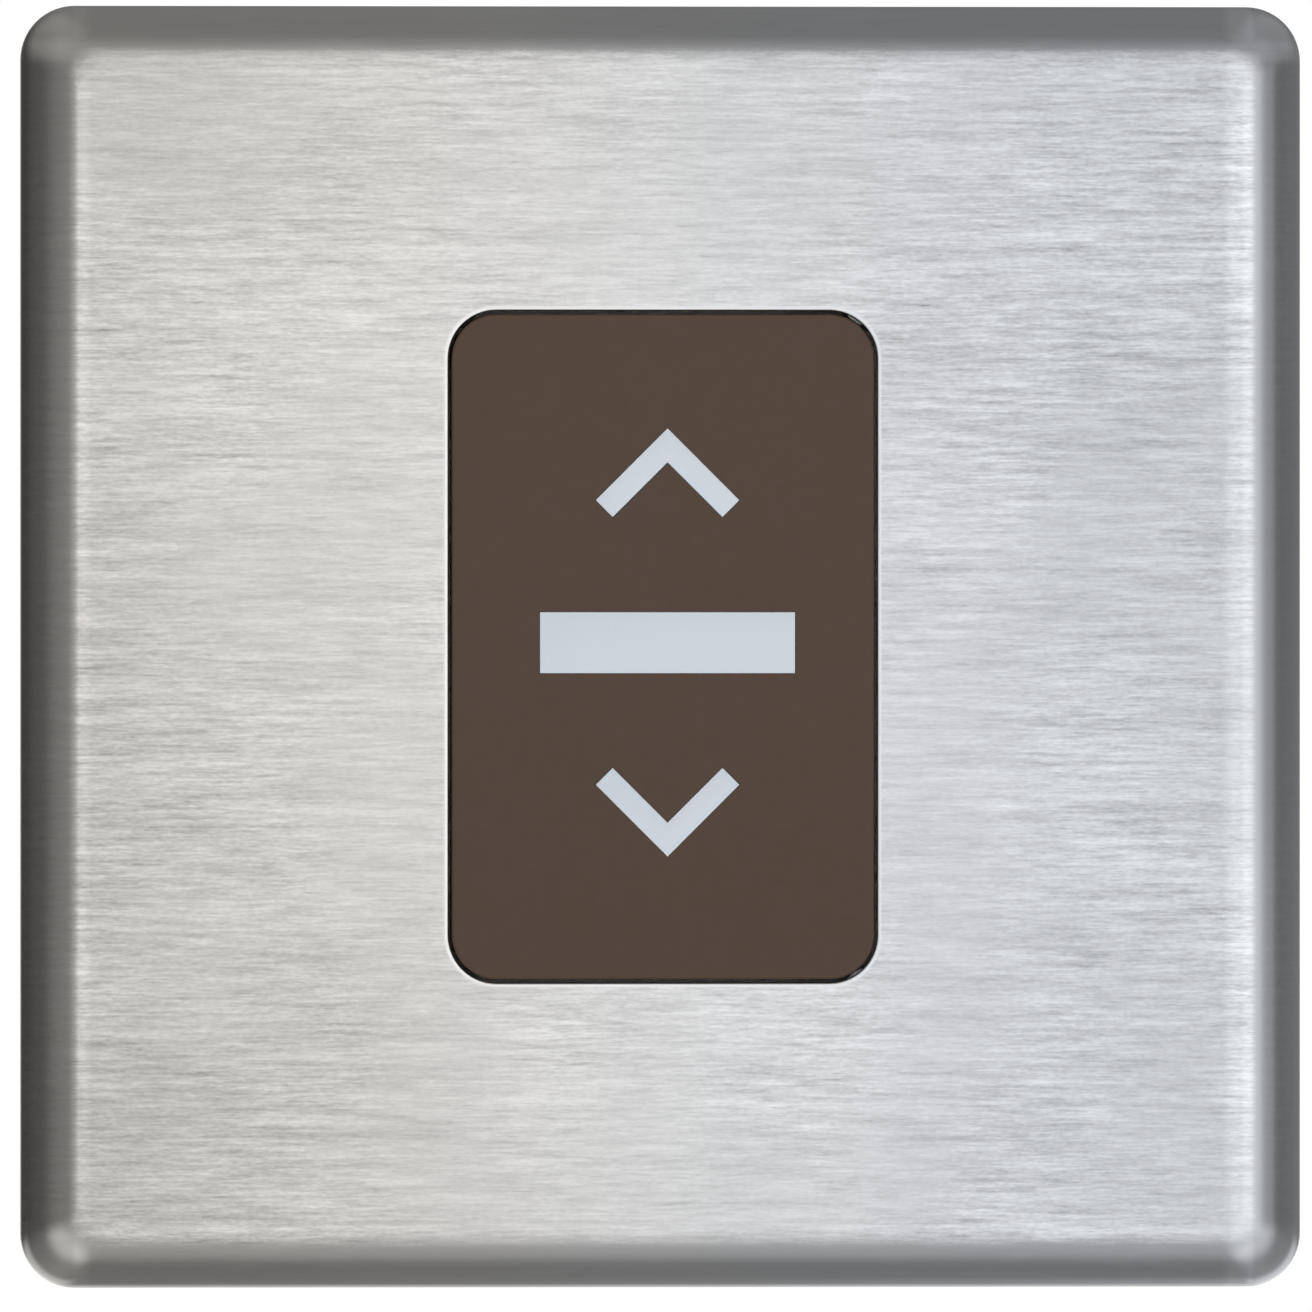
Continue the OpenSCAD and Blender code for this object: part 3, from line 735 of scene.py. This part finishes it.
def rear_marks():
    """Sunk marks: arrows and a bar beside the terminals, a changeover diagram, a strip gauge."""
    rear = mm_box("housing_base")[1][1]
    tx, tz = 10.5, 14.7
    on_rear = [
        [(tx - 1.3, tz - 0.9), (tx + 1.3, tz - 0.9), (tx, tz + 1.1)],
        [(tx - 1.3, -tz + 0.9), (tx, -tz - 1.1), (tx + 1.3, -tz + 0.9)],
        box_2d(-tx - 1.4, -tx + 1.4, tz - 0.35, tz + 0.35),
        disc(-tx, -21.3, 2.4),
        disc(15.4, 0, 0.9), disc(-15.4, 0, 0.9),
    ]
    in_panel = [
        disc(-7.0, 5.0, 0.75), stroke((-11.0, 5.0), (-8.3, 5.0), 0.45),
        stroke((-6.0, 5.35), (2.0, 8.1), 0.45),
        disc(4.0, 8.2, 0.75), stroke((5.3, 8.2), (11.0, 8.2), 0.45),
        disc(4.0, 2.0, 0.75), stroke((5.3, 2.0), (11.0, 2.0), 0.45),
        box_2d(-5.0, 5.0, -7.25, -6.75), box_2d(-5.55, -5.1, -8.4, -5.6), box_2d(5.1, 5.55, -8.4, -5.6),
    ]
    cut(base_piece, *join_parts([prism(q, rear - 0.22, rear + 1) for q in on_rear]))
    cut(base_piece, *join_parts([prism(q, rear - 0.72, rear + 1) for q in in_panel]))
    finish_mesh(base_piece, BLACK, BODY["housing_base"], ["housing_base"], 50)
    flat_shaded(base_piece)
    # earth mark stamped in the frame, inboard of its terminal
    x, z = 28.2, -12.2
    bars = [box_2d(x - 0.22, x + 0.22, z + 0.35, z + 2.4), box_2d(x - 1.7, x + 1.7, z - 0.2, z + 0.2),
            box_2d(x - 1.1, x + 1.1, z - 1.0, z - 0.6), box_2d(x - 0.5, x + 0.5, z - 1.8, z - 1.4)]
    cut(frame_piece, *join_parts([prism(q, -0.25, 0.6) for q in bars]))
    finish_mesh(frame_piece, ZINC, BODY["mounting_frame"], ["mounting_frame"], 50)
    flat_shaded(frame_piece)


rear_marks()


# --------------------------------------------------------------- round fixings
def rivet(x, z, y_front, y_back, r=1.2):
    """A domed rivet: factory head in front, upset head behind."""
    p = [(0.0, y_front - 0.6), (0.9, y_front - 0.57), (1.5, y_front - 0.42), (1.86, y_front - 0.2),
         (1.95, y_front - 0.06), (1.92, y_front), (r, y_front), (r, y_back), (1.72, y_back),
         (1.78, y_back + 0.12), (1.6, y_back + 0.36), (1.1, y_back + 0.54), (0.5, y_back + 0.6), (0.0, y_back + 0.6)]
    return revolve(p, (x, 0, z), 36)


rv_lo, rv_hi = mm_box("frame_rivets")
parts = [rivet(sx * 12, sz * 28.8, -1.2, 1.6) for sx in (-1, 1) for sz in (-1, 1)]
obj = new_object("frame_rivet_set", *join_parts(parts))
finish_mesh(obj, BRIGHT, BODY["frame_rivets"], ["frame_rivets"], 50)
er_lo, er_hi = mm_box("earth_rivet")
obj = new_object("earth_rivet_piece", *rivet((er_lo[0] + er_hi[0]) / 2, (er_lo[2] + er_hi[2]) / 2, -1.2, 0.8))
finish_mesh(obj, BRIGHT, BODY["earth_rivet"], ["earth_rivet"], 50)


def clamp_screw(name, x, z, y_tip, y_seat, r_head, turn):
    """A slotted cheese-head screw: threaded shank, chamfered head, cut slot."""
    r, pitch = 1.5, 0.6
    p = [(0.0, y_tip), (0.9, y_tip), (1.2, y_tip + 0.15)]
    y = y_tip + 0.3
    while y + pitch < y_seat - 0.2:
        p += [(r - 0.28, y), (r - 0.02, y + pitch * 0.42), (r - 0.02, y + pitch * 0.58)]
        y += pitch
    p += [(r - 0.28, y), (r - 0.28, y_seat)]
    top = y_seat + 1.3
    p += [(r_head - 0.06, y_seat), (r_head, y_seat + 0.08), (r_head, top - 0.34), (r_head - 0.07, top - 0.18),
          (r_head - 0.30, top - 0.04), (r_head - 0.6, top), (0.0, top)]
    obj = new_object(name, *revolve(p, (x, 0, z), 48))
    finish_mesh(obj, ZINC)
    c, s = math.cos(turn), math.sin(turn)
    pts = [(x + c * a - s * b, z + s * a + c * b) for a, b in ((-3, -0.4), (-3, 0.4), (3, 0.4), (3, -0.4))]
    cut(obj, *prism(pts, y_seat + 0.55, top + 1))
    finish_mesh(obj, ZINC)
    bevelled(obj, 0.04, 1, 60)
    return obj


ts_lo, ts_hi = mm_box("terminal_screws")
seat = ts_hi[1] - 1.3
screws = []
for i, (sx, sz) in enumerate(((-1, 1), (1, 1), (1, -1))):
    screws.append(clamp_screw("terminal_screw_%d" % (i + 1), sx * 10.5, sz * 21.3, ts_lo[1], seat, 2.3, (0.25, 1.0, -0.5)[i]))
for i, s in enumerate(screws):
    finish_mesh(s, ZINC, BODY["terminal_screws"], ["terminal_screws"] if i == 0 else (), 40)
es_lo, es_hi = mm_box("earth_screw")
s = clamp_screw("earth_screw_piece", (es_lo[0] + es_hi[0]) / 2, (es_lo[2] + es_hi[2]) / 2, es_lo[1], es_hi[1] - 1.3, 2.6, 0.5)
finish_mesh(s, ZINC, BODY["earth_screw"], ["earth_screw"], 40)


# --------------------------------------------------------------- return springs
def spring(node):
    lo, hi = mm_box(node)
    r_wire = 0.32
    r_coil = (hi[0] - lo[0]) / 2 - r_wire
    y0, y1 = lo[1], hi[1]
    z = (lo[2] + hi[2]) / 2
    turns, per, sides = 7, 40, 12
    end = 2 * r_wire + 0.04
    body_len = (y1 - y0) - 2 * r_wire - 2 * end

    def climb(t):
        if t < 1:
            return t * end
        if t > turns - 1:
            return end + body_len + (t - turns + 1) * end
        return end + body_len * (t - 1) / (turns - 2)

    n = turns * per
    verts, faces = [], []
    for i in range(n + 1):
        t = i / per
        a = 2 * math.pi * t
        for j in range(sides):
            b = 2 * math.pi * j / sides
            rr = r_coil + r_wire * math.cos(b)
            verts.append((rr * math.cos(a) * MM, (y0 + r_wire + climb(t) + r_wire * math.sin(b)) * MM, (z + rr * math.sin(a)) * MM))
    for i in range(n):
        for j in range(sides):
            k = (j + 1) % sides
            faces.append((i * sides + j, i * sides + k, (i + 1) * sides + k, (i + 1) * sides + j))
    faces.append(tuple(range(sides))[::-1])
    faces.append(tuple(n * sides + j for j in range(sides)))
    obj = new_object(node + "_coil", verts, faces)
    finish_mesh(obj, WIRE, None, [node], 60)
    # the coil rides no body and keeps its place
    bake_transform(obj)
    return obj


spring("up_return_spring")
spring("down_return_spring")


# ------------------------------------------------------------------ the studio
def studio():
    w = bpy.data.worlds.new("studio")
    scene.world = w
    w.use_nodes = True
    t = Tree(w.node_tree)
    out = t.node("ShaderNodeOutputWorld")
    d = t.node("ShaderNodeTexCoord").outputs["Generated"]

    def lobe(direction, a, b, gain):
        v = Vector(direction).normalized()
        return t.math("MULTIPLY", t.span(t.vmath("DOT_PRODUCT", d, tuple(v)), a, b), gain)

    xyz = t.node("ShaderNodeSeparateXYZ")
    t.put(xyz.inputs[0], d)
    front = t.math("MULTIPLY", xyz.outputs["Y"], -1.0)
    # what the sides of the room give back, dimmer behind on the left
    total = t.math("MULTIPLY", t.span(xyz.outputs["X"], -0.98, -0.45, 0.62, 1.0), 0.20)
    dim = t.math("MULTIPLY", t.span(front, -0.8, 0.0, 0.65, 0.0), t.span(xyz.outputs["X"], -0.6, -0.1, 1.0, 0.0))
    total = t.math("MULTIPLY", total, t.math("SUBTRACT", 1.0, dim))
    total = t.math("ADD", total, t.span(front, 0.10, 0.86, 0.0, 0.12))
    slant = t.math("ABSOLUTE", t.math("MULTIPLY", xyz.outputs["X"], xyz.outputs["Z"]))
    total = t.math("ADD", total, t.span(slant, 0.08, 0.42, 0.0, 0.16))
    corner_card = t.math("MULTIPLY", t.span(slant, 0.06, 0.24), t.span(front, 0.30, 0.66))
    corner_card = t.math("MULTIPLY", corner_card, t.span(xyz.outputs["Z"], -0.30, -0.05, 1.0, 0.0))
    total = t.math("ADD", total, t.math("MULTIPLY", corner_card, 0.55))
    rear_card = t.math("MULTIPLY", t.span(slant, 0.02, 0.14), t.span(front, -0.66, -0.30, 1.0, 0.0))
    rear_card = t.math("MULTIPLY", rear_card, t.span(xyz.outputs["Z"], -0.30, -0.05, 1.0, 0.0))
    total = t.math("ADD", total, t.math("MULTIPLY", rear_card, 0.62))
    for direction, a, b, g in (
        ((0.0, -1, 0.0), 0.840, 0.975, 0.56),
        ((0.40, -0.917, 0.0), 0.90, 0.995, 0.85),
        ((0.80, -0.60, 0.0), 0.960, 0.9986, 0.20),
        ((0, -0.80, -0.60), 0.86, 0.99, 0.24),
        ((0, 0.35, -1), 0.50, 1.0, 0.09),
        ((0, 0.30, 1), 0.50, 1.0, 0.09),
        ((0.85, 0.55, 0), 0.60, 1.0, 0.04),
        ((0, 0.94, -0.24), 0.88, 0.98, 0.62),
    ):
        total = t.math("ADD", total, lobe(direction, a, b, g))
    seen = t.node("ShaderNodeBackground")
    seen.inputs["Color"].default_value = (1, 1, 1, 1)
    seen.inputs["Strength"].default_value = 1.0
    lit = t.node("ShaderNodeBackground")
    lit.inputs["Color"].default_value = (1, 1, 1, 1)
    t.put(lit.inputs["Strength"], total)
    mix = t.node("ShaderNodeMixShader")
    t.put(mix.inputs[0], t.node("ShaderNodeLightPath").outputs["Is Camera Ray"])
    t.put(mix.inputs[1], lit.outputs[0])
    t.put(mix.inputs[2], seen.outputs[0])
    t.put(out.inputs[0], mix.outputs[0])


studio()


def area(name, place, target, size, watts, glossy=True, colour=(1, 1, 1)):
    data = bpy.data.lights.new(name, "AREA")
    data.shape = "RECTANGLE"
    data.size, data.size_y = size
    data.energy = watts
    data.color = colour
    o = bpy.data.objects.new(name, data)
    scene.collection.objects.link(o)
    o.location = place
    o.rotation_euler = (Vector(target) - Vector(place)).to_track_quat("-Z", "Y").to_euler()
    o.visible_camera = False
    o.visible_glossy = glossy
    return o


area("key_diffuse", (-0.25, -0.75, 0.45), (0, 0, 0), (0.5, 0.5), 2.75, False)
area("fill_diffuse", (0.45, -0.60, -0.02), (0, 0, 0), (0.5, 0.5), 1.3, False)
area("near_soft", (0.010, -0.36, 0.004), (0.008, 0, 0.003), (0.05, 0.10), 0.022, True)
area("top_soft", (0.0, -0.05, 0.8), (0, 0, 0), (0.7, 0.7), 1.8, False)
area("back_soft", (0.40, 1.10, 0.55), (0, 0.01, 0), (0.9, 0.9), 7.0, False)
area("back_fill", (-0.75, 0.85, 0.10), (0, 0.01, 0), (0.9, 0.9), 3.0, False)


# ----------------------------------------------------------------------- floor
def floor():
    lo, hi = cad_bounds
    z = lo[2] - 0.0026
    size = 1.6
    n = 24
    verts, faces = [], []
    for i in range(n + 1):
        for j in range(n + 1):
            verts.append(((i / n - 0.5) * 2 * size, (j / n - 0.5) * 2 * size, z))
    for i in range(n):
        for j in range(n):
            a = i * (n + 1) + j
            faces.append((a, a + n + 1, a + n + 2, a + 1))
    obj = new_object("studio_floor", verts, faces)
    m, t, b = material("floor_paper")
    p = t.coords()
    cloud = t.noise(p, 3, 3, 0.5)
    t.put(b.inputs["Base Color"], t.scale_colour(t.rgb((0.93, 0.93, 0.93)), t.math("ADD", 0.99, t.math("MULTIPLY", cloud, 0.02))))
    b.inputs["Roughness"].default_value = 0.85
    b.inputs["Specular IOR Level"].default_value = 0.2
    b.inputs["Emission Color"].default_value = (1, 1, 1, 1)
    b.inputs["Emission Strength"].default_value = 0.62
    obj.data.materials.append(m)
    obj.visible_glossy = False
    # it only lights the object from beneath, and the camera may stand below it
    obj.visible_camera = False


floor()

# ---------------------------------------------------------------------- camera
cam_data = bpy.data.cameras.new("camera")
cam = bpy.data.objects.new("camera", cam_data)
scene.collection.objects.link(cam)
scene.camera = cam
cam_data.type = "PERSP"
cam_data.lens = 540
cam_data.sensor_width = 36
cam_data.clip_start = 0.01
frame_w = 0.08815
dist = frame_w * 540 / 36
aim = Vector((-0.0003, RIM * MM, -0.00062))
turn = math.radians(-2.1)
cam.location = aim + Vector((math.sin(turn), -math.cos(turn), 0)) * dist
cam.rotation_euler = (math.pi / 2, 0, turn)

scene.view_settings.view_transform = "Standard"
